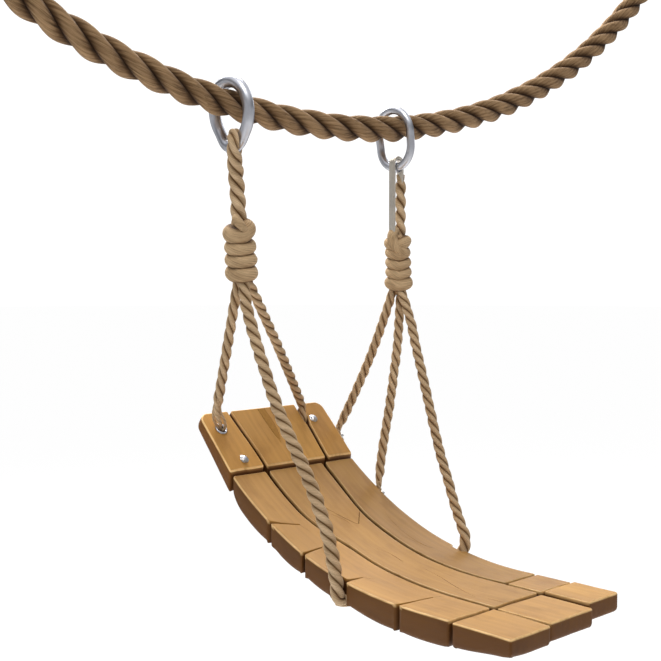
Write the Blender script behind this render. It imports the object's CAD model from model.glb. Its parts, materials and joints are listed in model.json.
"""Looks of a zip line swing seat: laid ropes, knots, polished rings and hand-worked planks.

Metres, +Z up. The line rope sags along X at y = LINE_Y and carries a left (-X) and a right (+X)
ring, with a hanger and a knot below each. The seat lies lengthwise along Y: its front end is at
y = -0.15, it curves up to the rear, and a back panel rises behind y = 0.49. The camera looks
from -X -Y, so "near" boards are on the -X side and "far" boards on the +X side.
"""

import json
import math
import random

import bmesh
import bpy
import numpy as np
from mathutils import Matrix, Vector, geometry, noise

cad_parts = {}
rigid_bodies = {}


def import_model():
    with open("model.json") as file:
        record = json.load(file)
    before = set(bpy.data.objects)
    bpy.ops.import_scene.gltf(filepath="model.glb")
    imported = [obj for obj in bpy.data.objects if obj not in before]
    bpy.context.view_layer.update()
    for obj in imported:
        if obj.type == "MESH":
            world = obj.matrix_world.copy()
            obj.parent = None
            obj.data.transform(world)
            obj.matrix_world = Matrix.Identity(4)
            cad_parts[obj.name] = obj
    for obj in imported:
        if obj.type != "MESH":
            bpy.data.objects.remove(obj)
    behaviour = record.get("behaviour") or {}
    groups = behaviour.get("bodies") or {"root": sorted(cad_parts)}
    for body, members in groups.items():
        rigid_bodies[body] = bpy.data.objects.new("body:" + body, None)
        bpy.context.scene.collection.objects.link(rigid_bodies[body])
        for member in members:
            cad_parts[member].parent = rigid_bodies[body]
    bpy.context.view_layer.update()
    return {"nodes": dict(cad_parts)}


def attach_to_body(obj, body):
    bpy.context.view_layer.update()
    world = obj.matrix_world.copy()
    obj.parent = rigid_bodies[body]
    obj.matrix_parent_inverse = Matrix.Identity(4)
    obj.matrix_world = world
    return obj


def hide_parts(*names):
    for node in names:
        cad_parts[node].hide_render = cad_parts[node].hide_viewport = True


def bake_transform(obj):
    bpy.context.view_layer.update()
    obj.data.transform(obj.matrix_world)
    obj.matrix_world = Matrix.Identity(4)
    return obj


for old in list(bpy.data.objects):
    bpy.data.objects.remove(old, do_unlink=True)

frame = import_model()
scene = bpy.context.scene
random.seed(7)

# ---------------------------------------------------------------- sizes shared with the CAD part
LINE_Y = 0.421
SAG_R, SAG_X, SAG_LOW_Z = 1.51, 0.025, 0.786  # the line is an arc: radius, lowest point
LINE_R = 0.0225
LINE_L_DEG, LINE_R_DEG = -27.0, 46.5
SWING_Z = 0.760  # centre of both rings' lower bends
# x, bar radius, upper bend radius, lower bend radius
RING_L = (-0.197, 0.0100, 0.0470, 0.0305)
RING_R = (0.204, 0.0077, 0.0423, 0.0405)
RING_R_BAR = RING_R[1]
RING_GAP = 0.0008
BAR_L = Vector((RING_L[0], LINE_Y, SWING_Z - RING_L[3]))
BAR_R = Vector((RING_R[0], LINE_Y, SWING_Z - RING_R[3]))
ARM = Vector((0.010, 0.0, -0.234))  # from a ring's lowest bar to the hanger's foot
APEX_L, APEX_R = BAR_L + ARM, BAR_R + ARM
VIEW_AZ = math.radians(-42.63)
VIEW_RIGHT = Vector((math.cos(VIEW_AZ), math.sin(VIEW_AZ), 0))
TO_VIEWER = Vector((math.sin(VIEW_AZ), -math.cos(VIEW_AZ), 0))


def mix(start, end, share):
    return start + (end - start) * share


def ease(x, low, high):
    """A smooth step from 0 at low to 1 at high."""
    share = min(1.0, max(0.0, (x - low) / (high - low)))
    return share * share * (3 - 2 * share)


def between(start, end, count):
    """The inner points of a span divided into count parts."""
    return [mix(start, end, i / count) for i in range(1, count)]


# ---------------------------------------------------------------- shader helpers
BLACK, WHITE = (0, 0, 0), (1, 1, 1)


class Graph:
    """Short hand for building a node tree."""

    def __init__(self, tree):
        self.tree = tree

    def feed(self, socket, value):
        """Give an input a socket to read, an RGB tuple, or a number or Vector."""
        if isinstance(value, bpy.types.NodeSocket):
            self.tree.links.new(value, socket)
        elif isinstance(value, tuple):
            socket.default_value = (*value, 1)
        else:
            socket.default_value = value

    def node(self, kind, feeds=None, **settings):
        node = self.tree.nodes.new(kind)
        for key, value in settings.items():
            setattr(node, key, value)
        for key, value in (feeds or {}).items():
            self.feed(node.inputs[key], value)
        return node

    def math(self, operation, *values):
        feeds = dict(enumerate(values))
        return self.node("ShaderNodeMath", feeds, operation=operation).outputs[0]

    def weigh(self, *terms, base=None):
        """The base plus each (value, weight) product, added one after another."""
        for value, weight in terms:
            if base is None:
                base = self.math("MULTIPLY", value, weight)
            else:
                base = self.math("MULTIPLY_ADD", value, weight, base)
        return base

    def ramp(self, value, *stops):
        """A colour ramp through (position, RGB) stops."""
        node = self.node("ShaderNodeValToRGB", {0: value})
        elements = node.color_ramp.elements
        while len(elements) < len(stops):
            elements.new(0.5)
        for element, (position, colour) in zip(elements, stops):
            element.position = position
            element.color = (*colour, 1)
        return node.outputs[0]

    def mix(self, factor, first, second, mode="MIX"):
        feeds = {0: factor, 6: first, 7: second}
        return self.node("ShaderNodeMix", feeds, data_type="RGBA", blend_type=mode).outputs[2]

    def multiply(self, first, second):
        return self.mix(1.0, first, second, "MULTIPLY")

    def attribute(self, name, output="Fac"):
        return self.node("ShaderNodeAttribute", attribute_name=name).outputs[output]

    def object_coords(self):
        return self.node("ShaderNodeTexCoord").outputs["Object"]

    def stretched(self, vector, stretch, shift=(0, 0, 0)):
        feeds = {"Scale": Vector(stretch), "Location": Vector(shift), "Vector": vector}
        return self.node("ShaderNodeMapping", feeds).outputs[0]

    def noise_node(self, vector, detail, roughness, distortion=0.0, scale=1.0,
                   stretch=None, shift=(0, 0, 0)):
        if stretch:
            vector = self.stretched(vector, stretch, shift)
        feeds = {"Vector": vector, "Scale": scale, "Detail": detail}
        feeds.update({"Roughness": roughness, "Distortion": distortion})
        return self.node("ShaderNodeTexNoise", feeds)

    def noise(self, vector, **look):
        return self.noise_node(vector, **look).outputs[0]

    def bump(self, height, strength, distance):
        feeds = {"Strength": strength, "Distance": distance, "Height": height}
        return self.node("ShaderNodeBump", feeds).outputs[0]


class Material(Graph):
    def __init__(self, name):
        self.material = bpy.data.materials.new(name)
        self.material.use_nodes = True
        super().__init__(self.material.node_tree)
        self.shader = self.tree.nodes["Principled BSDF"]

    def finish(self, feeds):
        """Feed the principled shader and hand back the material."""
        for key, value in feeds.items():
            self.feed(self.shader.inputs[key], value)
        return self.material


def dimmed(colour, factor):
    return tuple(channel * factor for channel in colour)


# ---------------------------------------------------------------- materials
def rope_material(name, dark, mid, light, yarns, axial, unit,
                  crease=((0.20, 0.16, 0.13), (0.55, 0.50, 0.45))):
    """Laid rope.

    The UV's u counts strands round the rope and v is length along it in `unit` metres. yarns is
    how many a strand shows, axial turns them to run along the rope, and crease tints the
    grooves between strands, deepest first.
    """
    mat = Material(name)
    uv = mat.node("ShaderNodeUVMap", uv_map="rope").outputs[0]
    around, along = mat.node("ShaderNodeSeparateXYZ", {0: uv}).outputs[:2]
    lean = mat.weigh((along, axial), base=around)

    def streaks(across, lengthwise, **look):
        feeds = {0: mat.weigh((lean, across)), 1: mat.weigh((along, lengthwise))}
        vector = mat.node("ShaderNodeCombineXYZ", feeds).outputs[0]
        return mat.noise(vector, **look)

    fibres = streaks(yarns * 5.0, 1.6, detail=4.0, roughness=0.65, distortion=0.35)
    tufts = streaks(yarns * 1.3, 0.9, detail=2.0, roughness=0.5, distortion=0.3)
    hairs = streaks(yarns * 7.0, 1.3, detail=2.0, roughness=0.5, distortion=0.2)
    hairs = mat.ramp(hairs, (0.33, BLACK), (0.43, WHITE))
    wave = mat.math("SINE", mat.weigh((lean, yarns * math.tau)))
    wave = mat.weigh((wave, 0.5), base=0.5)
    patches = mat.noise(mat.object_coords(), scale=16.0, detail=3.0, roughness=0.6)
    crown = mat.attribute("crown")
    tone = mat.weigh(
        (tufts, 0.26), (fibres, 0.55), (patches, 0.34), (wave, 0.08), (crown, 0.30), base=-0.20
    )
    colour = mat.ramp(tone, (0.18, dark), (0.50, mid), (0.82, light))
    colour = mat.mix(mat.weigh((hairs, -0.55), base=0.55), colour, dimmed(dark, 0.55))
    groove = mat.ramp(crown, (0.0, crease[0]), (0.22, crease[1]), (0.60, WHITE))
    height = mat.weigh((wave, 0.35), (hairs, 0.5), (fibres, 0.7))
    return mat.finish({
        "Base Color": mat.multiply(colour, groove),
        "Roughness": 0.88,
        "Specular IOR Level": 0.16,
        "Sheen Weight": 0.06,
        "Sheen Roughness": 0.5,
        "Normal": mat.bump(height, strength=0.65, distance=unit * 0.022),
    })


HAWSER = rope_material(
    "hawser", dark=(0.046, 0.023, 0.009), mid=(0.133, 0.072, 0.031), light=(0.425, 0.270, 0.140),
    yarns=7, axial=0.78, unit=0.0504,
)
HANGING = rope_material(
    "hanging_rope", dark=(0.180, 0.108, 0.052), mid=(0.405, 0.265, 0.142),
    light=(0.780, 0.575, 0.360), yarns=5, axial=0.82, unit=0.0224,
    crease=((0.26, 0.20, 0.15), (0.66, 0.60, 0.54)),
)
KNOTTED = rope_material(
    "knot_rope", dark=(0.155, 0.090, 0.042), mid=(0.345, 0.220, 0.113),
    light=(0.690, 0.490, 0.285), yarns=6, axial=0.30, unit=0.026,
)


def wood_material(name):
    """Seat boards. Reads the boards' attributes: flat (unbent place), side, edge, pit, shade."""
    mat = Material(name)
    flat = mat.attribute("flat", "Vector")
    # slow colour change, long grain figure, fine pores
    slow = mat.noise(flat, stretch=(9, 2.2, 9), detail=2.0, roughness=0.5)
    warp = mat.noise_node(flat, stretch=(6, 3.0, 6), detail=2.0, roughness=0.5)
    feeds = {0: warp.outputs["Color"], 1: Vector((0.030, 0.010, 0.030)), 2: flat}
    warped = mat.node("ShaderNodeVectorMath", feeds, operation="MULTIPLY_ADD").outputs[0]
    figure = mat.noise(warped, stretch=(95, 2.6, 60), detail=3.0, roughness=0.55)
    feeds = {"Scale": 1.0, "Distortion": 5.5, "Detail": 2.0, "Detail Scale": 0.8}
    feeds["Vector"] = mat.stretched(warped, (22, 1.6, 16))
    lines = mat.node("ShaderNodeTexWave", feeds, wave_type="BANDS", bands_direction="X")
    pores = mat.noise(warped, stretch=(620, 14, 400), detail=2.0, roughness=0.6)
    tone = mat.weigh(
        (slow, 0.50), (figure, 0.26), (lines.outputs["Fac"], 0.035), (pores, 0.10), base=0.08
    )
    colour = mat.ramp(
        tone,
        (0.30, (0.268, 0.128, 0.029)),
        (0.46, (0.378, 0.190, 0.045)),
        (0.56, (0.430, 0.221, 0.053)),
        (0.72, (0.520, 0.280, 0.072)),
    )
    # dark grain streaks
    streak = mat.noise(
        warped, stretch=(170, 3.2, 90), shift=(3, 1, 2), detail=4.0, roughness=0.62
    )
    streak = mat.ramp(streak, (0.27, BLACK), (0.34, WHITE))
    colour = mat.mix(mat.weigh((streak, -0.40), base=0.40), colour, (0.17, 0.075, 0.022))
    # darker sides, darker still inside the cuts
    side_tone = mat.multiply(colour, (0.36, 0.268, 0.180))
    colour = mat.mix(mat.attribute("side"), colour, side_tone)
    pit_tone = mat.multiply(colour, (0.62, 0.57, 0.54))
    colour = mat.mix(mat.attribute("pit"), colour, pit_tone)
    # bright worn edges, rubbed unevenly
    rub = mat.noise(flat, stretch=(60, 22, 60), detail=3.0, roughness=0.6)
    rub = mat.ramp(rub, (0.30, (0.40, 0.40, 0.40)), (0.52, WHITE))
    worn = mat.weigh((mat.attribute("edge"), rub))
    colour = mat.mix(mat.weigh((worn, 0.95)), colour, (0.95, 0.640, 0.300))
    # blotches of handling and weather
    dirt = mat.noise(flat, stretch=(26, 12, 26), shift=(5, 5, 5), detail=5.0, roughness=0.6)
    dirt = mat.ramp(dirt, (0.30, (0.74, 0.69, 0.64)), (0.50, WHITE))
    colour = mat.mix(0.7, colour, mat.multiply(colour, dirt))
    height = mat.weigh((streak, 0.5), (pores, 0.35), (figure, 0.6))
    return mat.finish({
        "Base Color": mat.multiply(colour, mat.attribute("shade")),
        "Roughness": mat.weigh((slow, 0.16), (pores, 0.22), base=0.42),
        "Specular IOR Level": 0.26,
        "Normal": mat.bump(height, strength=0.35, distance=0.0010),
    })


def sawn_wood_material(name):
    """Battens: plain sawn boards, grain across the seat, read from object coordinates."""
    mat = Material(name)
    coords = mat.object_coords()
    figure = mat.noise(
        coords, stretch=(5, 120, 120), detail=4.0, roughness=0.6, distortion=0.3
    )
    slow = mat.noise(coords, stretch=(6, 30, 30), detail=2.0, roughness=0.5)
    saw = mat.noise(coords, stretch=(260, 9, 9), detail=2.0, roughness=0.5)
    colour = mat.ramp(
        mat.weigh((slow, 0.4), (figure, 0.6)),
        (0.34, (0.120, 0.056, 0.024)),
        (0.52, (0.225, 0.115, 0.050)),
        (0.70, (0.335, 0.190, 0.092)),
    )
    height = mat.weigh((figure, 0.5), (saw, 0.5))
    return mat.finish({
        "Base Color": colour,
        "Roughness": 0.68,
        "Normal": mat.bump(height, strength=0.5, distance=0.0008),
    })


def steel_material(name, colour, roughness, brush, spotting):
    """Metal with brush scratches (brush sets their fineness) and dull spots."""
    mat = Material(name)
    coords = mat.object_coords()
    scratch = mat.noise(
        coords, stretch=(brush * 6, brush * 0.6, brush), detail=3.0, roughness=0.65
    )
    smear = mat.noise(coords, stretch=(38, 38, 38), detail=4.0, roughness=0.6)
    spots = mat.noise(
        coords, stretch=(150, 150, 150), shift=(1, 4, 2), detail=3.0, roughness=0.6
    )
    spots = mat.ramp(spots, (0.30, (0.62, 0.57, 0.52)), (0.40, WHITE))
    base = mat.ramp(smear, (0.30, dimmed(colour, 0.80)), (0.65, colour))
    base = mat.mix(spotting, base, mat.multiply(base, spots))
    # darker where the surface turns away
    facing = mat.node("ShaderNodeLayerWeight", {"Blend": 0.5}).outputs["Facing"]
    turned = mat.ramp(facing, (0.45, WHITE), (0.92, (0.34, 0.34, 0.37)))
    return mat.finish({
        "Metallic": 1.0,
        "Base Color": mat.multiply(base, turned),
        "Roughness": mat.weigh((scratch, 0.12), (smear, 0.16), base=roughness - 0.14),
        "Normal": mat.bump(smear, strength=0.02, distance=0.0004),
    })


def matt_material(name, colour, spread):
    """Cracks and carved lines: one dull colour, varied by the spread."""
    mat = Material(name)
    tone = mat.noise(mat.object_coords(), stretch=(240, 60, 240), detail=3.0, roughness=0.6)
    dark, light = dimmed(colour, 1 - spread), dimmed(colour, 1 + spread)
    return mat.finish({
        "Base Color": mat.ramp(tone, (0.35, dark), (0.65, light)),
        "Roughness": 0.9,
        "Specular IOR Level": 0.05,
    })


WOOD = wood_material("seat_wood")
BATTEN = sawn_wood_material("batten_wood")
STEEL = steel_material(
    "ring_steel", (0.62, 0.63, 0.68), roughness=0.36, brush=90.0, spotting=0.08
)
LINK_STEEL = steel_material(
    "link_steel", (0.72, 0.66, 0.57), roughness=0.42, brush=60, spotting=0.5
)
CHROME = steel_material(
    "hardware_chrome", (0.60, 0.62, 0.68), roughness=0.30, brush=120, spotting=0.0
)
SCREW_STEEL = steel_material(
    "screw_steel", (0.55, 0.53, 0.50), roughness=0.36, brush=200, spotting=0.8
)
CRACK = matt_material("crack", (0.085, 0.036, 0.012), spread=0.4)
FAINT = matt_material("faint_line", (0.205, 0.098, 0.031), spread=0.3)
BAND = matt_material("carved_band", (0.372, 0.190, 0.052), spread=0.08)


# ---------------------------------------------------------------- mesh building
def add_object(name, mesh, material, sharp=None):
    obj = bpy.data.objects.new(name, mesh)
    scene.collection.objects.link(obj)
    mesh.materials.append(material)
    mesh.shade_smooth()
    if sharp:
        mesh.set_sharp_from_angle(angle=math.radians(sharp))
    return obj


def attach(obj, body, replaces=()):
    """Tell the frame what the piece moves with. body is one name, or the arguments of a blend."""
    if isinstance(body, str):
        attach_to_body(obj, body)
    else:
        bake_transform(obj)
    if replaces:
        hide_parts(*replaces)


def add_solid(name, verts, faces, material, body="seat", replaces=(), sharp=None,
              outward=False):
    """A plain mesh piece. outward turns all its faces to look out."""
    mesh = bpy.data.meshes.new(name)
    mesh.from_pydata([tuple(vert) for vert in verts], [], faces)
    mesh.validate()
    obj = add_object(name, mesh, material, sharp)
    if outward:
        shape = bmesh.new()
        shape.from_mesh(mesh)
        bmesh.ops.recalc_face_normals(shape, faces=shape.faces)
        shape.to_mesh(mesh)
        shape.free()
    attach(obj, body, replaces)


def add_attribute(mesh, name, values):
    is_vector = values.ndim == 2
    kind = "FLOAT_VECTOR" if is_vector else "FLOAT"
    data = mesh.attributes.new(name, kind, "POINT").data
    data.foreach_set("vector" if is_vector else "value", values.astype(np.float32).ravel())


def grid_faces(rows, columns, closed=False, tube=True):
    """Quads over rows of verts. closed joins the last row to the first, tube the columns."""
    faces = []
    for i in range(rows if closed else rows - 1):
        one, two = i * columns, (i + 1) % rows * columns
        for j in range(columns if tube else columns - 1):
            j2 = (j + 1) % columns
            faces.append((one + j, one + j2, two + j2, two + j))
    return faces


def unit(vectors):
    return vectors / np.maximum(np.linalg.norm(vectors, axis=1), 1e-9)[:, None]


def left_of(vectors):
    """Plane vectors turned a quarter to the left."""
    return np.stack([-vectors[:, 1], vectors[:, 0]], 1)


def spline(points, per_span=12):
    """A Catmull-Rom path through the points, as an (n, 3) array."""
    knots = np.array([tuple(point) for point in points], float)
    knots = np.vstack([2 * knots[0] - knots[1], knots, 2 * knots[-1] - knots[-2]])
    t = np.linspace(0, 1, per_span, endpoint=False)[:, None]
    out = []
    for a, b, c, d in zip(knots, knots[1:], knots[2:], knots[3:]):
        quadratic, cubic = 2 * a - 5 * b + 4 * c - d, 3 * b - 3 * c + d - a
        out.append(0.5 * (2 * b + (c - a) * t + quadratic * t**2 + cubic * t**3))
    out.append(knots[-2][None])
    return np.vstack(out)


def resample(path, step, closed=False):
    """Even points along a path, their distances along it and its length."""
    path = np.asarray(path, float)
    if closed:
        path = np.vstack([path, path[:1]])
    spans = np.linalg.norm(np.diff(path, axis=0), axis=1)
    reached = np.concatenate([[0], np.cumsum(spans)])
    total = reached[-1]
    count = max(4, int(round(total / step)))
    distance = np.linspace(0, total, count + 1)
    points = np.stack([np.interp(distance, reached, path[:, k]) for k in range(3)], 1)
    if closed:
        points, distance = points[:-1], distance[:-1]
    return points, distance, total


def squared(vector, tangent):
    """The unit part of a vector that is square to the tangent."""
    vector = vector - (vector @ tangent) * tangent
    return vector / np.linalg.norm(vector)


def transport(path, closed=False):
    """Tangents and two twist-free side vectors along a path."""
    if closed:
        tangents = np.roll(path, -1, 0) - np.roll(path, 1, 0)
    else:
        tangents = np.gradient(path, axis=0)
    tangents = unit(tangents)
    start = np.array((0, 0, 1.0))
    if abs(tangents[0] @ start) > 0.8:
        start = np.array((1.0, 0, 0))
    sides = np.zeros_like(path)
    sides[0] = squared(start, tangents[0])
    for i in range(1, len(path)):
        sides[i] = squared(sides[i - 1], tangents[i])
    if closed:
        # spread what is left of the turn over the loop
        last = squared(sides[-1], tangents[0])
        left = math.atan2(last @ np.cross(tangents[0], sides[0]), last @ sides[0])
        angle = -left * np.arange(len(path)) / len(path)
        others = np.cross(tangents, sides)
        sides = sides * np.cos(angle)[:, None] + others * np.sin(angle)[:, None]
    return tangents, sides, np.cross(tangents, sides)


def sweep(centres, sides, others, reach, angles):
    """Rings of points round the centres, as a (rows, points, 3) array."""
    x, y = reach * np.cos(angles), reach * np.sin(angles)
    return centres[:, None] + x[..., None] * sides[:, None] + y[..., None] * others[:, None]


def full_size(share):
    return 1.0


def strand_outline(angle, offset):
    """Outline of round strands laid together, 1 at a strand's crown; offset is their centre."""
    strand = 1 - offset
    hollow = strand * strand - (offset * np.sin(angle)) ** 2
    return offset * np.cos(angle) + np.sqrt(np.maximum(hollow, 0))


CAP_RINGS = ((0.80, 0.10), (0.42, 0.17))  # a rope end's dome: ring size, lift in radii
CAP_LIFT = 0.20


def laid_rope(name, path, radius, lay, body, *, material=HANGING, slot="hanger_rope",
              replaces=(), hand=-1, strands=3, per_strand=12, step=None, unit_length=None,
              depth=1.0, crease=1.0, joint=None, phase=0.0, closed=False, scale=full_size,
              wobble=0.012, seed=0.0):
    """A laid rope along a path.

    lay is the length of one full twist and hand its direction. depth scales the grooves'
    shape and crease their shading; joint = (from, to) also shades the rope at that height
    above or below its centre, in radii. scale(share) sizes it along its length.
    """
    unit_length = unit_length or radius * 2
    centres, distance, total = resample(path, step or radius * 0.17, closed)
    tangents, sides, others = transport(centres, closed)
    rows, around = len(centres), per_strand * strands
    base = math.tau * np.arange(around) / around
    half = math.pi / strands
    offset = 0.48 if strands == 3 else 0.40
    outline = strand_outline((base + half) % (math.tau / strands) - half, offset)
    low = float(strand_outline(np.array([half]), offset)[0])
    crown = 1 - crease * (1 - (outline - low) / (1 - low))
    outline = 1 - depth * (1 - outline)
    if closed:
        turns = max(1, round(total / lay * strands)) / strands
        twist = hand * math.tau * turns * distance / total
    else:
        twist = hand * math.tau * distance / lay
    size = np.array([scale(share) for share in distance / total])
    # each strand swells and shrinks in three waves along the rope
    draws = np.random.default_rng(int(seed * 1000) + 11).uniform(-1, 1, (3, 6))
    strand = ((np.arange(around) + per_strand // 2) // per_strand) % strands
    swell = sum(
        draws[strand, 2 * k] * np.sin(distance[:, None] / lay * waves + draws[k, 2 * k + 1] * 6)
        for k, waves in enumerate((3.1, 7.3, 13.7))
    )
    reach = radius * size[:, None] * outline * (1 + wobble * swell)
    verts = sweep(centres, sides, others, reach, base + twist[:, None] + phase)

    points = verts.reshape(-1, 3)
    faces = grid_faces(rows, around, closed)
    ends = np.append(distance, total) / unit_length
    uvs = []
    for i in range(rows if closed else rows - 1):
        for j in range(around):
            u0, u1 = j / per_strand, (j + 1) / per_strand
            uvs += [(u0, ends[i]), (u1, ends[i]), (u1, ends[i + 1]), (u0, ends[i + 1])]
    crowns = np.tile(crown, rows)
    if joint:
        height = np.abs((verts - centres[:, None])[..., 2]) / (radius * size[:, None])
        far = np.clip((height - joint[0]) / (joint[1] - joint[0]), 0, 1)
        crowns = crowns * (1 - 0.96 * (far * far * (3 - 2 * far)).ravel())
    if not closed:
        # two shrinking rings and a middle point make a softly domed end
        for row, out in ((0, -1), (rows - 1, 1)):
            push = tangents[row] * out * radius * size[row]
            rings = [range(row * around, (row + 1) * around)]
            for shrink, lift in CAP_RINGS:
                rings.append(range(len(points), len(points) + around))
                ring = centres[row] + (verts[row] - centres[row]) * shrink + push * lift
                points = np.vstack([points, ring])
            tip = len(points)
            points = np.vstack([points, centres[row] + push * CAP_LIFT])
            crowns = np.concatenate([crowns, np.tile(0.35 + crown * 0.5, 2), [0.3]])
            for outer, inner in zip(rings, rings[1:] + [None]):
                for j in range(around):
                    j2 = (j + 1) % around
                    face = (outer[j2], outer[j])
                    face += (inner[j], inner[j2]) if inner else (tip,)
                    faces.append(face[::-out])
                    uvs += [(j / per_strand, v) for v in (0.1, 0.2, 0.3, 0.4)[: len(face)]]
    mesh = bpy.data.meshes.new(name)
    mesh.from_pydata(points.tolist(), [], faces)
    layer = mesh.uv_layers.new(name="rope")
    layer.data.foreach_set("uv", np.array(uvs, np.float32).ravel())
    add_attribute(mesh, "crown", crowns)
    attach(add_object(name, mesh, material), body, replaces)


def bar_loop(name, path, radius, material, sides, step, body="seat", replaces=(),
             scale=full_size):
    """A closed round metal bar along a path."""
    centres, distance, total = resample(path, step, closed=True)
    _, first, second = transport(centres, closed=True)
    angles = math.tau * np.arange(sides) / sides
    size = radius * np.array([scale(share) for share in distance / total])
    verts = sweep(centres, first, second, size[:, None], angles).reshape(-1, 3)
    faces = grid_faces(len(centres), sides, closed=True)
    add_solid(name, verts, faces, material, body, replaces)


def lathe(name, profile, place, material, sides=32, sharp=30, replaces=()):
    """Seat hardware: (radius, height) points turned about local Z and placed by a matrix."""
    verts, faces, rings = [], [], []
    for radius, z in profile:
        if radius < 1e-7:
            rings.append([len(verts)])
            verts.append((0, 0, z))
        else:
            rings.append(range(len(verts), len(verts) + sides))
            for i in range(sides):
                angle = math.tau * i / sides
                verts.append((radius * math.cos(angle), radius * math.sin(angle), z))
    for one, two in zip(rings[:-1], rings[1:]):
        for i in range(sides):
            i2 = (i + 1) % sides
            if len(one) == 1:
                faces.append((one[0], two[i], two[i2]))
            elif len(two) == 1:
                faces.append((one[i], two[0], one[i2]))
            else:
                faces.append((one[i], two[i], two[i2], one[i2]))
    verts = [place @ Vector(vert) for vert in verts]
    add_solid(name, verts, faces, material, replaces=replaces, sharp=sharp,
              outward=True)


# ---------------------------------------------------------------- line rope
LINE_DROP = 0.0012  # the laid rope lies this much below the CAD arc


def on_line(degrees):
    angle = math.radians(degrees)
    x, z = SAG_X + SAG_R * math.sin(angle), SAG_LOW_Z + SAG_R - SAG_R * math.cos(angle)
    return Vector((x, LINE_Y, z))


line_path = []
for i in range(301):
    degrees = mix(LINE_L_DEG, LINE_R_DEG, i / 300)
    # the left end bends up a little
    rise = 0.012 * max(0.0, (-19 - degrees) / 8) ** 1.6
    line_path.append(on_line(degrees) + Vector((0, 0, rise - LINE_DROP)))
laid_rope(
    "line_rope_laid", line_path, radius=0.0252, lay=0.186, body="line", material=HAWSER,
    slot="line_rope", replaces=("line_rope",), hand=1, per_strand=18, step=0.0034, phase=0.4,
    depth=0.92, wobble=0.018, seed=0.1,
)


# ---------------------------------------------------------------- rings
def ring_path(x, bar_r, top_r, low_r, lean_x, raise_z):
    """Two bends joined by straights; lean_x and raise_z shift the ring's top."""
    slope = math.asin((x - SAG_X) / SAG_R)
    top = SAG_LOW_Z + SAG_R - SAG_R * math.cos(slope)
    top += (LINE_R + bar_r + RING_GAP) / math.cos(slope)
    upper = top - top_r
    lean = math.asin((top_r - low_r) / (upper - SWING_Z))

    def bend(height, radius, start, end, steps):
        angles = [mix(start, end, i / steps) for i in range(steps + 1)]
        return [
            np.array((x, LINE_Y + radius * math.cos(a), height + radius * math.sin(a)))
            for a in angles
        ]

    high = bend(upper, top_r, -lean, math.pi + lean, 48)
    low = bend(SWING_Z, low_r, math.pi + lean, math.tau - lean, 36)
    points = high + between(high[-1], low[0], 6) + low + between(low[-1], high[0], 6)
    points = np.array(points)
    share = np.clip((points[:, 2] - SWING_Z) / (top - SWING_Z), 0, 1)
    points[:, 0] += lean_x * share
    points[:, 2] += raise_z * share
    return points


def left_ring_size(share):
    """The left ring's bar swells on one stretch."""
    return 1.0 + 0.15 * math.exp(-(((share - 0.26) / 0.14) ** 2))


for side, ring, lean_x, raise_z, sides, scale in (
    ("left", RING_L, -0.0080, 0.0052, 40, left_ring_size),
    ("right", RING_R, -0.0100, 0.0024, 36, full_size),
):
    bar_loop(
        f"ring_{side}_bar", ring_path(*ring, lean_x, raise_z), ring[1], STEEL, sides=sides,
        step=0.0020, body=f"ring_{side}", replaces=(f"ring_{side}",), scale=scale,
    )


# ---------------------------------------------------------------- left hanger
def along_arm(bar_centre, z):
    """The hanger's axis at a height. The left one is shifted to the viewer's right."""
    share = (z - bar_centre.z) / ARM.z
    point = bar_centre + ARM * share
    if bar_centre is BAR_L:
        point = point + VIEW_RIGHT * (0.0035 + 0.0036 * share)
    return point


# one rope: up from the knot, over the ring's bar, and its end spliced back in behind itself
OVER_FRONT, OVER_REAR = Vector((-0.0240, -0.0255, 0)), Vector((0.0215, 0.0235, 0))
OVER_HEIGHT = 0.0215
# height, share of the way out from the axis
FRONT_RISE = (
    (0.588, 0), (0.610, 0), (0.632, 0), (0.652, 0), (0.668, 0.10), (0.684, 0.24),
    (0.702, 0.52), (0.718, 0.84),
)
REAR_FALL = ((0.716, 0.86), (0.702, 0.62), (0.688, 0.42), (0.674, 0.34), (0.662, 0.28))

eye_top = along_arm(BAR_L, BAR_L.z + 0.001)
hang = [along_arm(BAR_L, z) + OVER_FRONT * share for z, share in FRONT_RISE]
for i in range(9):
    angle = math.pi * i / 8
    front, rear = max(0.0, math.cos(angle)), max(0.0, -math.cos(angle))
    lift = Vector((0, 0, OVER_HEIGHT * math.sin(angle)))
    hang.append(eye_top + OVER_FRONT * front + OVER_REAR * rear + lift)
hang += [along_arm(BAR_L, z) + OVER_REAR * share for z, share in REAR_FALL]
laid_rope(
    "hanger_left_rope", spline(hang, 8), radius=0.0136, lay=0.080, body="hanger_left",
    replaces=("hanger_rope_left",), phase=1.1, seed=0.4, depth=0.86,
    scale=lambda t: mix(1.04, 0.80, ease(t, 0.34, 0.50)) * mix(1.0, 0.86, ease(t, 0.66, 1.0)),
)

# ---------------------------------------------------------------- knots
KNOT = dict(material=KNOTTED, hand=1, depth=0.10, crease=0.30, unit_length=0.026)
KNOT_TURN = dict(KNOT, step=0.0024, joint=(0.60, 0.99), wobble=0.03)
KNOT_BEND = dict(KNOT, step=0.0022, joint=(0.62, 0.99))


def knot_point(bar_centre, z, degrees, rho, lift=0.0):
    """A point round the hanger's axis: 0 degrees is the viewer's right, 90 towards the viewer."""
    angle = math.radians(degrees)
    across, near = rho * math.cos(angle), rho * math.sin(angle)
    point = along_arm(bar_centre, z) + VIEW_RIGHT * across + TO_VIEWER * near
    return point + Vector((0, 0, lift))


def knot_path(bar_centre, stations, per_span=12):
    """A path through (degrees, radius, height) stations."""
    return spline([knot_point(bar_centre, z, deg, rho) for deg, rho, z in stations], per_span)


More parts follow.
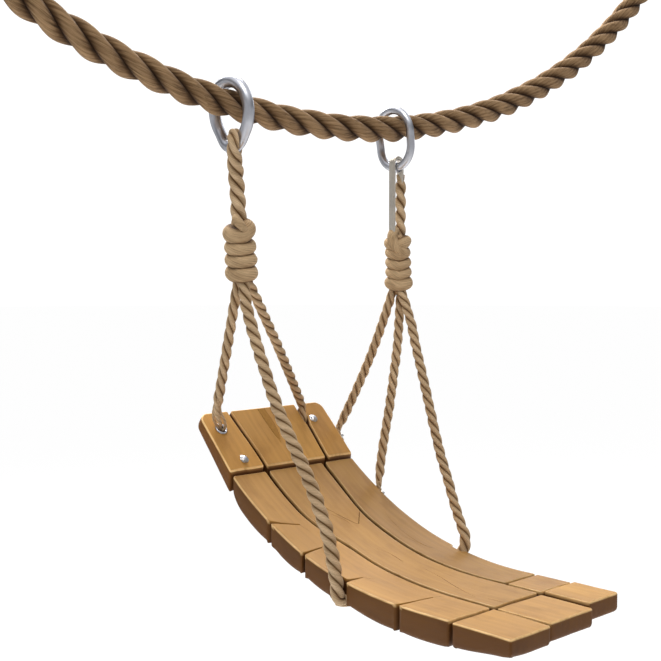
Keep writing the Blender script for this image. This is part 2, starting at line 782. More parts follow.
def knot_turns(side, bar_centre, turns):
    """Closed turns of a knot. dip lowers the front, vee draws it down to a point."""
    for number, (z, rho, radius, dip, vee, seed) in enumerate(turns, 1):
        points = []
        for i in range(72):
            degrees = 360 * i / 72
            front = math.sin(math.radians(degrees))
            off_front = abs((degrees + 90) % 360 - 180)
            point = max(0.0, 1 - off_front / 90.0) ** 1.15
            uneven = 0.0008 * math.sin(math.radians(degrees) * 2 + seed * 9)
            lift = -dip * front - vee * point
            points.append(knot_point(bar_centre, z, degrees, rho + uneven, lift))
        laid_rope(
            f"knot_{side}_turn_{number}", points, radius, lay=0.11, body=f"hanger_{side}",
            replaces=(f"knot_{side}",) if number == 1 else (), closed=True, seed=seed,
            **KNOT_TURN,
        )


def knot_core(side, bar_centre, heights, radius, seed):
    """The rope inside a knot."""
    path = spline([along_arm(bar_centre, z) for z in heights], 8)
    laid_rope(f"knot_{side}_core", path, radius, lay=0.08, body=f"hanger_{side}",
              material=KNOTTED, per_strand=10, seed=seed)


# height, turn radius, rope radius, dip, vee, seed
LEFT_TURNS = (
    (0.5150, 0.0142, 0.0142, 0.0046, 0.0, 0.11),
    (0.5380, 0.0152, 0.0126, 0.0048, 0.0, 0.23),
    (0.5595, 0.0151, 0.0128, 0.0048, 0.0, 0.37),
)
RIGHT_TURNS = (
    (0.4955, 0.0140, 0.0136, 0.0010, 0.0056, 0.13),
    (0.5160, 0.0150, 0.0112, 0.0010, 0.0068, 0.27),
    (0.5350, 0.0150, 0.0110, 0.0010, 0.0070, 0.31),
    (0.5545, 0.0146, 0.0114, 0.0012, 0.0060, 0.43),
)
# the knots' open bends: degrees, radius from the axis, height
LEFT_TOP_TURN = (
    (-62, 0.0060, 0.6000), (-30, 0.0110, 0.5985), (5, 0.0150, 0.5930), (40, 0.0156, 0.5850),
    (75, 0.0156, 0.5785), (110, 0.0156, 0.5770), (145, 0.0155, 0.5795), (180, 0.0152, 0.5835),
    (215, 0.0148, 0.5860), (250, 0.0140, 0.5860), (285, 0.0125, 0.5850),
)
LEFT_TUCK = (
    (98, 0.0100, 0.6090), (100, 0.0200, 0.6080), (90, 0.0266, 0.6020), (78, 0.0280, 0.5945),
    (66, 0.0250, 0.5890), (50, 0.0170, 0.5870),
)
RIGHT_HUMP = (
    (205, 0.0120, 0.5660), (250, 0.0140, 0.5710), (295, 0.0145, 0.5745), (335, 0.0148, 0.5765),
    (10, 0.0150, 0.5765), (45, 0.0152, 0.5725), (75, 0.0150, 0.5680), (100, 0.0125, 0.5640),
)
RIGHT_CROSS = (
    (120, 0.0050, 0.6010), (132, 0.0120, 0.5940), (128, 0.0172, 0.5820), (112, 0.0186, 0.5680),
    (88, 0.0190, 0.5575), (60, 0.0172, 0.5540), (40, 0.0130, 0.5560),
)
RIGHT_SHOULDER = (
    (235, 0.0100, 0.5720), (205, 0.0145, 0.5720), (175, 0.0150, 0.5720), (148, 0.0145, 0.5690),
    (130, 0.0110, 0.5640),
)

knot_turns("left", BAR_L, LEFT_TURNS)
laid_rope(
    "knot_left_turn_4", knot_path(BAR_L, LEFT_TOP_TURN, 14), radius=0.0150, lay=0.12,
    body="hanger_left", seed=0.41,
    scale=lambda t: mix(0.72, 1.0, ease(t, 0.0, 0.28)) * mix(1.0, 0.8, ease(t, 0.85, 1.0)),
    **KNOT_TURN,
)
laid_rope(
    "knot_left_tuck", knot_path(BAR_L, LEFT_TUCK), radius=0.0078, lay=0.06, body="hanger_left",
    material=KNOTTED, step=0.0014, depth=0.12, crease=0.3, seed=0.51, unit_length=0.016,
    scale=lambda t: 0.72 + 0.28 * math.sin(math.pi * min(1, t * 1.15)),
)
knot_core("left", BAR_L, (0.600, 0.56, 0.53, 0.506), radius=0.0150, seed=0.5)

knot_turns("right", BAR_R, RIGHT_TURNS)
laid_rope(
    "knot_right_hump", knot_path(BAR_R, RIGHT_HUMP), radius=0.0124, lay=0.11,
    body="hanger_right", wobble=0.03, seed=0.53, **KNOT_BEND,
)
laid_rope(
    "knot_right_cross", knot_path(BAR_R, RIGHT_CROSS), radius=0.0098, lay=0.08,
    body="hanger_right", material=KNOTTED, hand=1, step=0.0018, depth=0.12, crease=0.30,
    wobble=0.03, seed=0.59, unit_length=0.020,
    scale=lambda t: mix(0.80, 1.05, ease(t, 0, 0.3)),
)
laid_rope(
    "knot_right_shoulder", knot_path(BAR_R, RIGHT_SHOULDER), radius=0.0122, lay=0.09,
    body="hanger_right", seed=0.61, **KNOT_BEND,
)
knot_core("right", BAR_R, (0.586, 0.55, 0.52, 0.484), radius=0.0140, seed=0.6)

# ---------------------------------------------------------------- right hanger: link and rope
STRAP_HALF_WIDTH, STRAP_HALF_THICK, STRAP_GAP = 0.0074, 0.0030, 0.0006
STRAP_BEND = RING_R_BAR + STRAP_HALF_THICK + STRAP_GAP
SHANK_X = 0.0156  # the rope's top, to the right of the ring's bar


def strap_path():
    """Up the left of the hanger, over the ring's bar and a little down its right."""
    y = LINE_Y - 0.002
    heights = (0.566, 0.60, 0.64, 0.68, BAR_R.z + 0.002)
    points = [(BAR_R.x - STRAP_BEND, y, z) for z in heights]
    for i in range(13):
        angle = math.pi * i / 12
        x = BAR_R.x - STRAP_BEND * math.cos(angle)
        points.append((x, y, BAR_R.z + 0.0080 + STRAP_BEND * math.sin(angle)))
    points.append((BAR_R.x + STRAP_BEND, y, BAR_R.z - 0.006))
    points.append((BAR_R.x + STRAP_BEND + 0.001, LINE_Y - 0.001, BAR_R.z - 0.030))
    return spline(points, 6)


def link_strap(sides=36):
    """A flat steel strap bent in the XZ plane, its width along Y."""
    path, _, _ = resample(strap_path(), 0.0012)
    tangents = unit(np.gradient(path, axis=0))
    wide = np.array((0.0, 1.0, 0.0))
    angles = math.tau * np.arange(sides) / sides
    cosine, sine = np.cos(angles), np.sin(angles)
    # a rounded rectangle section
    across = (np.sign(cosine) * np.abs(cosine) ** 0.42 * STRAP_HALF_WIDTH)[:, None]
    through = (np.sign(sine) * np.abs(sine) ** 0.62 * STRAP_HALF_THICK)[:, None]
    verts = np.vstack([
        point + across * wide + through * np.cross(tangent, wide)
        for point, tangent in zip(path, tangents)
    ])
    faces = grid_faces(len(path), sides)
    faces.append(tuple(range(sides))[::-1])
    faces.append(tuple(range((len(path) - 1) * sides, len(path) * sides)))
    add_solid("link_strap", verts, faces, LINK_STEEL, "hanger_right",
              ("steel_link",), sharp=60, outward=True)


link_strap()
shank_top = Vector((BAR_R.x + SHANK_X, LINE_Y + 0.0016, BAR_R.z - 0.013))
shank_low = Vector((along_arm(BAR_R, 0.590).x + 0.0080, LINE_Y, 0.565))
laid_rope(
    "hanger_right_shank",
    spline([shank_top.lerp(shank_low, share) for share in (0, 0.3, 0.6, 0.85, 1.0)], 10),
    radius=0.0110, lay=0.056, body="hanger_right", replaces=("hanger_rope_right",),
    per_strand=14, strands=2, depth=0.75, phase=0.5, seed=0.7,
    scale=lambda t: mix(0.76, 1.0, ease(t, 0, 0.12)),
)

# ---------------------------------------------------------------- seat surface
HALF_W, PANEL_HALF_W = 0.150, 0.153
FRONT_NEAR, FRONT_MID, FRONT_FAR = -0.150, -0.141, -0.131
CROSS_GAP_Y, CROSS_GAP = -0.0365, 0.0070  # the gap across all planks behind the end blocks
FAR_GAP_Y, FAR_GAP = 0.0362, 0.0050  # the gap across the far plank
PLANK_REAR_Y = 0.4870
CURVE_START_Y, CURVE_REAR_Z, CURVE_POWER = 0.020, 0.146, 2.44
GROOVE_W = 0.0090
# the panel's face from its foot to its top, as (y, z)
PANEL_A, PANEL_B = Vector((0.4905, 0.1555)), Vector((0.5835, 0.2475))
PANEL_LEN = (PANEL_B - PANEL_A).length + 0.0040
PANEL_DIR = (PANEL_B - PANEL_A).normalized()
PANEL_UP = Vector((-PANEL_DIR.y, PANEL_DIR.x))
PANEL_N = Vector((0, PANEL_UP.x, PANEL_UP.y))


def seat_top(y):
    if y <= CURVE_START_Y:
        return 0.0
    share = (y - CURVE_START_Y) / (PLANK_REAR_Y - CURVE_START_Y)
    return CURVE_REAR_Z * share**CURVE_POWER


def seat_slope(y):
    return (seat_top(y + 1e-4) - seat_top(y - 1e-4)) / 2e-4


def plank_thick(y):
    return mix(0.0425, 0.0350, ease(y, 0.06, 0.26)) - 0.010 * ease(-y, 0.068, 0.150)


def end_thick(y):
    return mix(0.0385, 0.0300, ease(-y, 0.040, 0.150))


def panel_thick(along):
    return mix(0.0340, 0.0240, along / PANEL_LEN)


def plank_map(x, y, depth):
    return (x, y, seat_top(y) - depth * math.sqrt(1 + seat_slope(y) ** 2))


def panel_map(x, along, depth):
    """Panel boards are built in x and the distance up the panel; their ends are cut on a slant."""
    slanted = along + depth * mix(-0.807, -0.097, along / PANEL_LEN)
    point = PANEL_A + PANEL_DIR * slanted - PANEL_UP * depth
    return (x, point.x, point.y)


def along_of(y):
    return (y - PANEL_A.x) / PANEL_DIR.x


def y_of(along):
    return PANEL_A.x + along * PANEL_DIR.x


def on_panel(x, y, out=0.0):
    point = PANEL_A + PANEL_DIR * along_of(y) + PANEL_UP * out
    return Vector((x, point.x, point.y))


# centre lines of the two long grooves
def groove_one(y):
    return mix(-0.048, -0.069, ease(y, 0.27, 0.40)) - 0.013 * ease(y, 0.4850, 0.60)


def groove_two(y):
    x = mix(0.071, 0.060, ease(y, 0.0, 0.22))
    x = mix(x, 0.072, ease(y, 0.34, 0.47))
    return x + 0.020 * ease(y, 0.47, 0.60)


def panel_groove_two(y):
    return mix(0.0855, 0.0915, ease(y, 0.49, 0.59))


# ---------------------------------------------------------------- board outlines
EDGE_OUT = 0.0032  # bevel on the seat's outer edges
EDGE_IN = 0.0017  # and along the grooves
EDGE_PANEL = 0.0026
CORNER = 0.0032


def round_corner(before, corner, after, radius):
    steps = 8 if radius > 0.01 else 4
    corner = Vector(corner)
    back, ahead = (Vector(before) - corner).normalized(), (Vector(after) - corner).normalized()
    half = back.angle(ahead) / 2
    reach = radius / math.tan(half)
    centre = corner + (back + ahead).normalized() * (radius / math.sin(half))
    start, end = corner + back * reach - centre, corner + ahead * reach - centre
    angle = math.atan2(start.y, start.x)
    turn = (math.atan2(end.y, end.x) - angle + math.pi) % math.tau - math.pi
    spread = start.length
    return [
        (centre.x + spread * math.cos(angle + turn * i / steps),
         centre.y + spread * math.sin(angle + turn * i / steps))
        for i in range(steps + 1)
    ]


def strip_outline(front_y, rear_y, left, right, cuts=(), corner=(CORNER,) * 4, spacing=0.006,
                  edges=(0.0018,) * 4, to_y=lambda y: y):
    """Counter-clockwise plan outline with a bevel width at each point.

    left and right give x at a y. corner holds the radii from front left round to rear left,
    edges the bevels of the front, right, rear and left. cuts are (y, points from the left edge
    inwards and back, bevel), rear first. to_y turns a board's own length into y.
    """

    def on_left(y):
        return (left(to_y(y)), y)

    def on_right(y):
        return (right(to_y(y)), y)

    points, bevels = [], []

    def put(more, first, last=None):
        last = first if last is None else last
        for i, point in enumerate(more):
            points.append(tuple(point))
            bevels.append(mix(first, last, i / max(1, len(more) - 1)))

    def across(start, end, y):
        count = max(2, int(abs(on_right(y)[0] - on_left(y)[0]) / 0.012))
        return [(x, y) for x in between(start, end, count)]

    front, high, rear, low = edges
    near, far = front_y + 0.02, rear_y - 0.02
    front_left, front_right = on_left(front_y), on_right(front_y)
    rear_right, rear_left = on_right(rear_y), on_left(rear_y)
    put(round_corner(on_left(near), front_left, front_right, corner[0]), low, front)
    put(across(front_left[0] + corner[0], front_right[0] - corner[1], front_y), front)
    put(round_corner(front_left, front_right, on_right(near), corner[1]), front, high)
    count = max(2, int((rear_y - front_y - corner[1] - corner[2]) / spacing))
    put([on_right(y) for y in between(front_y + corner[1], rear_y - corner[2], count)], high)
    put(round_corner(on_right(far), rear_right, rear_left, corner[2]), high, rear)
    put(across(rear_right[0] - corner[2], rear_left[0] + corner[3], rear_y), rear)
    put(round_corner(rear_right, rear_left, on_left(far), corner[3]), rear, low)
    count = max(2, int((rear_y - front_y - corner[0] - corner[3]) / spacing))
    todo = list(cuts)
    for y in between(rear_y - corner[3], front_y + corner[0], count):
        while todo and y <= todo[0][0]:
            put(todo[0][1], todo[0][2])
            todo.pop(0)
        if any(cut[0][1] + 0.0025 > y > cut[-1][1] - 0.0025 for _, cut, _ in cuts):
            continue
        put([on_left(y)], low)
    return points, bevels


KERF_LIP = 0.0030  # extra half width where a kerf meets the edge
KERF_STATIONS = (
    (0.0, KERF_LIP), (0.035, KERF_LIP * 0.22), (0.10, 0), (0.22, 0), (0.40, 0), (0.60, 0),
    (0.80, 0), (1.0, 0),
)  # share of the length, flare


def kerf(edge_y, inner_x, inner_y, mouth, tip):
    """Cut points in from the left edge by the rear wall, round the tip and back by the other."""
    start, inner = Vector((-HALF_W, edge_y)), Vector((inner_x, inner_y))
    ahead = (inner - start).normalized()
    normal = Vector((-ahead.y, ahead.x))
    upper, lower = [], []
    for share, flare in KERF_STATIONS:
        half = mix(mouth, tip, ease(share, 0.0, 0.55) * 0.75 + 0.25 * share) + flare
        point = start.lerp(inner, share)
        upper.append(tuple(point + normal * half))
        lower.append(tuple(point - normal * half))
    upper[0], lower[0] = (-HALF_W, upper[0][1]), (-HALF_W, lower[0][1])
    end = []
    for i in range(1, 5):
        angle = math.pi / 2 - math.pi * i / 5
        out, side = tip * math.cos(angle), tip * math.sin(angle)
        end.append(tuple(inner + ahead * out + normal * side))
    return upper + end + lower[::-1]


def left_normals(points):
    """Mitred normals to the left of the walk, scaled so that both edges move by 1."""
    points = np.array(points, float)
    before = left_of(unit(points - np.roll(points, 1, 0)))
    after = left_of(unit(np.roll(points, -1, 0) - points))
    mitre = unit(before + after)
    cosine = np.clip((mitre * before).sum(1), 0.62, 1)
    return mitre / cosine[:, None]


# ---------------------------------------------------------------- board building
def surface_shift(x, y, seed):
    """Sideways bend and height of a worn face."""
    relief = 0.00055
    bend = noise.noise(Vector((seed * 5, y * 16, 3.1))) * 0.0007
    wave = noise.noise(Vector((x * 21, y * 13, seed * 7))) * relief
    wave += noise.noise(Vector((x * 75, y * 11, seed * 3))) * relief * 0.45
    return bend, wave


# each board's seed, and its shade: boards are cut from differently coloured timber
BOARDS = {
    "end_near": (0.12, 1.0), "end_mid": (0.31, 1.0), "end_far": (0.47, 1.0),
    "plank_near": (0.63, 0.95), "plank_mid": (0.22, 0.84),
    "plank_far_front": (0.77, 0.90), "plank_far_rear": (0.55, 0.69),
    "panel_near": (0.83, 1.34), "panel_mid": (0.41, 1.15), "panel_far": (0.93, 1.11),
}
LOW_BEVEL = 0.0078
TOP_STEPS, LOW_STEPS = 5, 3
GRID_X = 0.011
GRID_Y = GRID_X * 0.55


def wall_rings(shape, points, bevels, depth_at):
    """Rings of verts from the top face's edge, over both bevels, to the lower face's edge."""
    outline, widths = np.array(points, float), np.array(bevels, float)
    normals = left_normals(points)

    def ring(placed, depths):
        return [shape.verts.new((x, y, -depth)) for (x, y), depth in zip(placed, depths)]

    rings = []
    for i in range(TOP_STEPS + 1):
        angle = math.pi / 2 * i / TOP_STEPS
        inset = widths * (1 - math.sin(angle))
        placed = outline + normals * inset[:, None]
        rings.append(ring(placed, widths * (1 - math.cos(angle))))
    rings.append(ring(outline, np.maximum(0.0064, widths + 0.0030)))
    # fine edges keep their width below, groove edges get a smaller lower bevel than outer ones
    low = np.where(widths > 0.0024, LOW_BEVEL, LOW_BEVEL * 0.62)
    low = np.where(widths < 0.0015, widths, low)
    for i in range(LOW_STEPS + 1):
        angle = math.pi / 2 * i / LOW_STEPS
        placed = outline + normals * (low * (1 - math.cos(angle)))[:, None]
        depths = np.array([depth_at(y) for _, y in placed])
        rings.append(ring(placed, depths - low * (1 - math.sin(angle))))
    return rings


def slice_grid(shape):
    """Cut the block across both axes, so that it can bend."""
    extents = []
    for axis in (0, 1):
        places = [vert.co[axis] for vert in shape.verts]
        extents.append((min(places) + 0.002, max(places) - 0.002))
    for axis, step in ((1, GRID_Y), (0, GRID_X)):
        low, high = extents[axis]
        cut = math.ceil(low / step) * step
        while cut < high:
            place, normal = [0, 0, 0], [0, 0, 0]
            place[axis], normal[axis] = cut + 0.00037, 1
            bmesh.ops.bisect_plane(
                shape, geom=shape.verts[:] + shape.edges[:] + shape.faces[:], dist=1e-6,
                plane_co=place, plane_no=normal,
            )
            cut += step
    large = [face for face in shape.faces if len(face.verts) > 4]
    bmesh.ops.triangulate(shape, faces=large)


def flat_block(name, loops, depth_at):
    """The block's mesh before it is bent: walls round every loop, a top and a lower face."""
    shape = bmesh.new()
    top_loops, low_loops = [], []
    for points, bevels in loops:
        rings = wall_rings(shape, points, bevels, depth_at)
        for one, two in zip(rings[:-1], rings[1:]):
            for i in range(len(points)):
                j = (i + 1) % len(points)
                shape.faces.new((one[i], two[i], two[j], one[j]))
        top_loops.append(rings[0])
        low_loops.append(rings[-1])
    for group in (top_loops, low_loops):
        verts = [vert for loop in group for vert in loop]
        plan = [[Vector((vert.co.x, vert.co.y, 0)) for vert in loop] for loop in group]
        for triangle in geometry.tessellate_polygon(plan):
            # guards against a triangle that the tessellation gives twice or without area
            try:
                shape.faces.new([verts[i] for i in triangle])
            except ValueError:
                pass
    bmesh.ops.recalc_face_normals(shape, faces=shape.faces)
    slice_grid(shape)
    mesh = bpy.data.meshes.new(name)
    shape.to_mesh(mesh)
    shape.free()
    return mesh


def wood_block(node, suffix, loops, to_world, depth_at, outside, drop=0.0,
               form=lambda x, y, depth: depth, plain=lambda x, y: False):
    """A board from plan loops [(points, bevels), ...], outer first, holes clockwise.

    It is built flat, then laid on the seat's surface, lowered by drop. form reshapes its depth,
    outside is 1 on the seat's outer sides, and plain marks edges without a worn bright line.
    """
    name = f"{node}_{suffix}"
    seed, tint = BOARDS[node]
    mesh = flat_block(name, loops, depth_at)
    count = len(mesh.vertices)
    flat = np.zeros((count, 3))
    edge, side, pit = np.zeros(count), np.zeros(count), np.zeros(count)
    for i, vert in enumerate(mesh.vertices):
        x, y, z = vert.co
        depth = -z
        flat[i] = (x + seed * 1.7, y + seed * 3.1, z)
        if 0.00002 < depth < 0.0027 and not plain(x, y):
            edge[i] = math.sin(math.pi * min(1.0, (depth + 0.00030) / 0.0030))
        side[i] = ease(depth, 0.0010, 0.0034)
        pit[i] = ease(depth, 0.0016, 0.0060) * (1.0 - outside(x, y))
        bend, wave = surface_shift(x, y, seed)
        vert.co = to_world(x + bend, y, form(x, y, depth) - wave + drop)
    add_attribute(mesh, "shade", np.full(count, tint))
    add_attribute(mesh, "flat", flat)
    add_attribute(mesh, "edge", edge)
    add_attribute(mesh, "side", side)
    add_attribute(mesh, "pit", pit)
    attach(add_object(name, mesh, WOOD, sharp=50), "seat", (node,))


# where the near plank's side is parted
BLOCK_ENDS = (-0.0332, 0.0705, 0.1950, 0.2960, 0.3810, PLANK_REAR_Y)


def side_form(x, y, depth):
    """Between two kerfs the side hangs lower in the middle and is rounded up at both ends."""
    for start, end in zip(BLOCK_ENDS[:-1], BLOCK_ENDS[1:]):
        if start <= y <= end:
            rear_reach, rear_rise = (0.024, 0.0110) if end > 0.48 else (0.013, 0.0065)
            near_start = max(0.0, 1 - (y - start) / 0.011)
            near_end = max(0.0, 1 - (end - y) / rear_reach)
            low = 0.0050 * math.sin(math.pi * (y - start) / (end - start)) ** 0.7
            high = 0.0060 * (1 - math.sqrt(max(0.0, 1 - near_start**2)))
            high += rear_rise * (1 - math.sqrt(max(0.0, 1 - near_end**2)))
            gain = (low if end > 0.2 else low * 0.45) - high
            return depth + gain * (ease(-x, 0.094, 0.140) * ease(depth, 0.006, 0.034))
    return depth


def end_form(x, y, depth):
    """The near end block's lower outer corner is well rounded."""
    corner = max(0.0, 1 - (y - FRONT_NEAR) / 0.022) ** 2 * max(0.0, 1 - abs(x + HALF_W) / 0.05) ** 2
    return depth * (1 - 0.16 * corner * ease(depth, 0.008, 0.028))


def seat_outside(x, y):
    """1 on the seat's outer sides and front, 0 on walls inside the kerfs, grooves and gaps."""
    return max(ease(abs(x), 0.1455, 0.1485), ease(-y, 0.1180, 0.1215))


def panel_outside(x, along):
    top = ease(along, PANEL_LEN - 0.0045, PANEL_LEN - 0.0015)
    return max(ease(abs(x), 0.1485, 0.1515), top)


def in_kerf(x, y):
    """Kerf edges are freshly sawn: no worn bright line there."""
    kerf_ys = (0.3735, 0.2965, 0.1950, 0.0680)
    return -0.1478 < x < -0.0765 and any(abs(y - kerf_y) < 0.0125 for kerf_y in kerf_ys)


# ---------------------------------------------------------------- the boards
def near_left(y):
    return -HALF_W


def near_right(y):
    return groove_one(y) - GROOVE_W / 2


def mid_left(y):
    return groove_one(y) + GROOVE_W / 2


def mid_right(y):
    return groove_two(y) - GROOVE_W / 2


def far_left(y):
    return groove_two(y) + GROOVE_W / 2


def far_right(y):
    return HALF_W + 0.0085 * ease(-y, -0.140, 0.010)


FAR_NOTCH = 0.0070  # the far edge draws in round the sling


def notched_far_right(y):
    notch = FAR_NOTCH * ease(y, 0.1885, 0.1925) * (1 - ease(y, 0.2165, 0.2205))
    return far_right(y) - notch


front_edge, rear_edge = CROSS_GAP_Y - CROSS_GAP / 2, CROSS_GAP_Y + CROSS_GAP / 2
PLANK = dict(suffix="board", to_world=plank_map, depth_at=plank_thick, outside=seat_outside)
END = dict(PLANK, suffix="block", depth_at=end_thick)
PANEL = dict(
    suffix="board", to_world=panel_map, depth_at=panel_thick, outside=panel_outside
)

wood_block(
    "end_near",
    loops=[strip_outline(
        FRONT_NEAR, front_edge, near_left, lambda y: near_right(y) - 0.0020 * ease(-y, 0.07, 0.15),
        corner=(0.0036, 0.0060, CORNER, CORNER), edges=(EDGE_OUT, EDGE_IN, EDGE_IN, EDGE_OUT),
    )],
    drop=0.0010, form=end_form, **END,
)
wood_block(
    "end_mid",
    loops=[strip_outline(
        FRONT_MID, front_edge, lambda y: mid_left(y) - 0.0010,
        lambda y: mid_right(y) - 0.0015 * ease(-y, 0.07, 0.14),
        corner=(0.0036, 0.0060, CORNER, CORNER), edges=(EDGE_OUT, EDGE_IN, EDGE_IN, EDGE_IN),
    )],
    drop=0.0016, **END,
)
wood_block(
    "end_far",
    loops=[strip_outline(
        FRONT_FAR + 0.0050, front_edge, far_left, far_right,
        corner=(0.0036, 0.0080, CORNER, CORNER), edges=(EDGE_OUT, EDGE_OUT, EDGE_IN, EDGE_IN),
    )],
    drop=-0.0022, **END,
)

# a stepped notch with a narrow kerf running in from it, as (x, y)
NOTCH = (
    (-0.1500, 0.2235), (-0.1488, 0.2212), (-0.1440, 0.2200), (-0.1405, 0.2170),
    (-0.1392, 0.2120), (-0.1388, 0.2040), (-0.1388, 0.1968), (-0.1340, 0.1944),
    (-0.1260, 0.1930), (-0.1180, 0.1918), (-0.1100, 0.1907), (-0.1090, 0.1900),
    (-0.1100, 0.1893), (-0.1180, 0.1894), (-0.1280, 0.1892), (-0.1380, 0.1888),
    (-0.1450, 0.1880), (-0.1488, 0.1872), (-0.1500, 0.1850),
)
KERF_BEVEL = 0.0009
NEAR_CUTS = (
    (0.3830, kerf(0.3825, -0.0965, 0.3640, mouth=0.0028, tip=0.0010), KERF_BEVEL),
    (0.2960, kerf(0.2940, -0.1020, 0.2990, mouth=0.0030, tip=0.0011), KERF_BEVEL),
    (0.2050, NOTCH, 0.0010),
    (0.0715, kerf(0.0725, -0.0790, 0.0630, mouth=0.0030, tip=0.0011), KERF_BEVEL),
)
wood_block(
    "plank_near",
    loops=[strip_outline(
        rear_edge, PLANK_REAR_Y, near_left, near_right, NEAR_CUTS,
        edges=(EDGE_IN, EDGE_IN, EDGE_IN, EDGE_OUT),
    )],
    form=side_form, plain=in_kerf, **PLANK,
)
wood_block(
    "plank_mid", loops=[strip_outline(rear_edge, PLANK_REAR_Y, mid_left, mid_right)], **PLANK
)
wood_block(
    "plank_far_front",
    loops=[strip_outline(
        rear_edge, FAR_GAP_Y - FAR_GAP / 2, far_left, far_right,
        edges=(EDGE_IN, EDGE_OUT, EDGE_IN, EDGE_IN),
    )],
    drop=0.0004, **PLANK,
)
wood_block(
    "plank_far_rear",
    loops=[strip_outline(
        FAR_GAP_Y + FAR_GAP / 2, PLANK_REAR_Y, far_left, notched_far_right,
        edges=(EDGE_IN, 0.0024, EDGE_IN, EDGE_IN), spacing=0.0035,
    )],
    **PLANK,
)

EYELET = (-0.1222, 0.5575)  # x, y
EYELET_HOLE_R = 0.0094
HOLE_SIDES = 28


def eyelet_hole():
    points = []
    for i in range(HOLE_SIDES):
        angle = -math.tau * i / HOLE_SIDES
        x = EYELET[0] + EYELET_HOLE_R * math.cos(angle)
        points.append((x, along_of(EYELET[1]) + EYELET_HOLE_R * math.sin(angle)))
    return points, [0.0010] * HOLE_SIDES


def panel_slot_edge(sign):
    """The groove's edge, drawn back round the rope where it lies in the groove near the top."""
    return lambda y: (
        panel_groove_two(y) + sign * GROOVE_W / 2 + sign * 0.0042 * ease(y, 0.548, 0.560)
    )


def panel_outline(left, right, **look):
    return strip_outline(0.0, PANEL_LEN, left, right, to_y=y_of, **look)


wood_block(
    "panel_near",
    loops=[
        panel_outline(
            lambda y: -PANEL_HALF_W, near_right, corner=(0.0035, 0.0035, 0.0035, 0.018),
            edges=(EDGE_PANEL, EDGE_IN, EDGE_PANEL, 0.0036),
        ),
        eyelet_hole(),
    ],
    **PANEL,
)
wood_block(
    "panel_mid",
    loops=[panel_outline(
        mid_left, panel_slot_edge(-1), edges=(EDGE_PANEL, EDGE_IN, EDGE_PANEL, EDGE_IN)
    )],
    **PANEL,
)
wood_block(
    "panel_far",
    loops=[panel_outline(
        panel_slot_edge(1), lambda y: PANEL_HALF_W, corner=(0.0035, 0.0035, 0.018, 0.0035),
        edges=(EDGE_PANEL, EDGE_PANEL, EDGE_PANEL, EDGE_IN),
    )],
    **PANEL,
)


# ---------------------------------------------------------------- cracks and carved lines
def crack(name, board, width, material, taper, points, to_world=plank_map, drop=0.0):
    """A narrow strip that follows a board's top face and dies out over taper at its ends."""
    seed = BOARDS[board][0]
    path = spline([(x, y, 0) for x, y in points], 10)[:, :2]
    spans = np.linalg.norm(np.diff(path, axis=0), axis=1)
    shares = np.concatenate([[0], np.cumsum(spans)]) / spans.sum()
    normals = left_of(unit(np.gradient(path, axis=0)))
    verts = []
    for point, normal, share in zip(path, normals, shares):
        wide = width * min(1.0, (share + 0.02) / taper[0], (1.02 - share) / taper[1])
        wide *= 1 + 0.35 * noise.noise(Vector((share * 9, seed, 0)))
        jag = noise.noise(Vector((share * 14, seed * 3, 2))) * 0.0004
        for across, lift in ((-0.5, 0.00016), (0.0, 0.00008), (0.5, 0.00016)):
            x, y = point + normal * (wide * across + jag)
            _, wave = surface_shift(x, y, seed)
            verts.append(to_world(x, y, -wave + drop - lift))
    add_solid(name, verts, grid_faces(len(path), 3, tube=False), material)


# name, board, width, material, taper at both ends as shares of the length, (x, y) points
CRACKS = (
    ("mid_1", "plank_mid", 0.0010, CRACK, (0.3, 0.04),
     [(-0.0240, 0.4120), (-0.0094, 0.3897), (0.0040, 0.3664), (0.0179, 0.3412), (0.0233, 0.3368)]),
    ("mid_2", "plank_mid", 0.0014, CRACK, (0.05, 0.3),
     [(0.0233, 0.3368), (0.0360, 0.3492), (0.0477, 0.3607), (0.0570, 0.3700)]),
    ("mid_3", "plank_mid", 0.0007, FAINT, (0.15, 0.15),
     [(-0.0135, 0.3771), (0.0043, 0.3534), (0.0054, 0.3413)]),
    ("mid_4", "plank_mid", 0.0008, FAINT, (0.4, 0.3),
     [(-0.0042, 0.2647), (0.0061, 0.2378), (0.0043, 0.2070)]),
    ("mid_5", "plank_mid", 0.0009, CRACK, (0.4, 0.4),
     [(0.0055, 0.2360), (0.0050, 0.2200), (0.0026, 0.2033)]),
    ("mid_6", "plank_mid", 0.0010, CRACK, (0.4, 0.4),
     [(0.0158, 0.1679), (0.0094, 0.1260), (-0.0094, 0.0698), (-0.0258, 0.0188)]),
    ("mid_7", "plank_mid", 0.0009, CRACK, (0.3, 0.05),
     [(-0.0190, -0.0009), (-0.0176, -0.0219), (-0.0152, -0.0300)]),
    ("near_1", "plank_near", 0.0009, FAINT, (0.05, 0.6),
     [(-0.1088, 0.1899), (-0.1035, 0.1830), (-0.0960, 0.1760)]),
    ("near_2", "plank_near", 0.0008, FAINT, (0.05, 0.6),
     [(-0.0962, 0.3640), (-0.0930, 0.3500), (-0.0905, 0.3400)]),
    ("near_3", "plank_near", 0.0010, CRACK, (0.05, 0.6),
     [(-0.0785, 0.0630), (-0.0700, 0.0590), (-0.0620, 0.0570)]),
    ("near_4", "plank_near", 0.0008, FAINT, (0.05, 0.6),
     [(-0.1015, 0.2990), (-0.0940, 0.3015), (-0.0860, 0.3035)]),
    ("far_1", "plank_far_rear", 0.0008, FAINT, (0.3, 0.3),
     [(0.1065, 0.3530), (0.0960, 0.3076), (0.0928, 0.2690), (0.0957, 0.2274)]),
    ("far_2", "plank_far_rear", 0.0008, FAINT, (0.4, 0.4),
     [(0.0798, 0.2843), (0.0904, 0.2543), (0.1003, 0.2242)]),
)
for label, *values in CRACKS:
    crack(f"crack_{label}", *values)
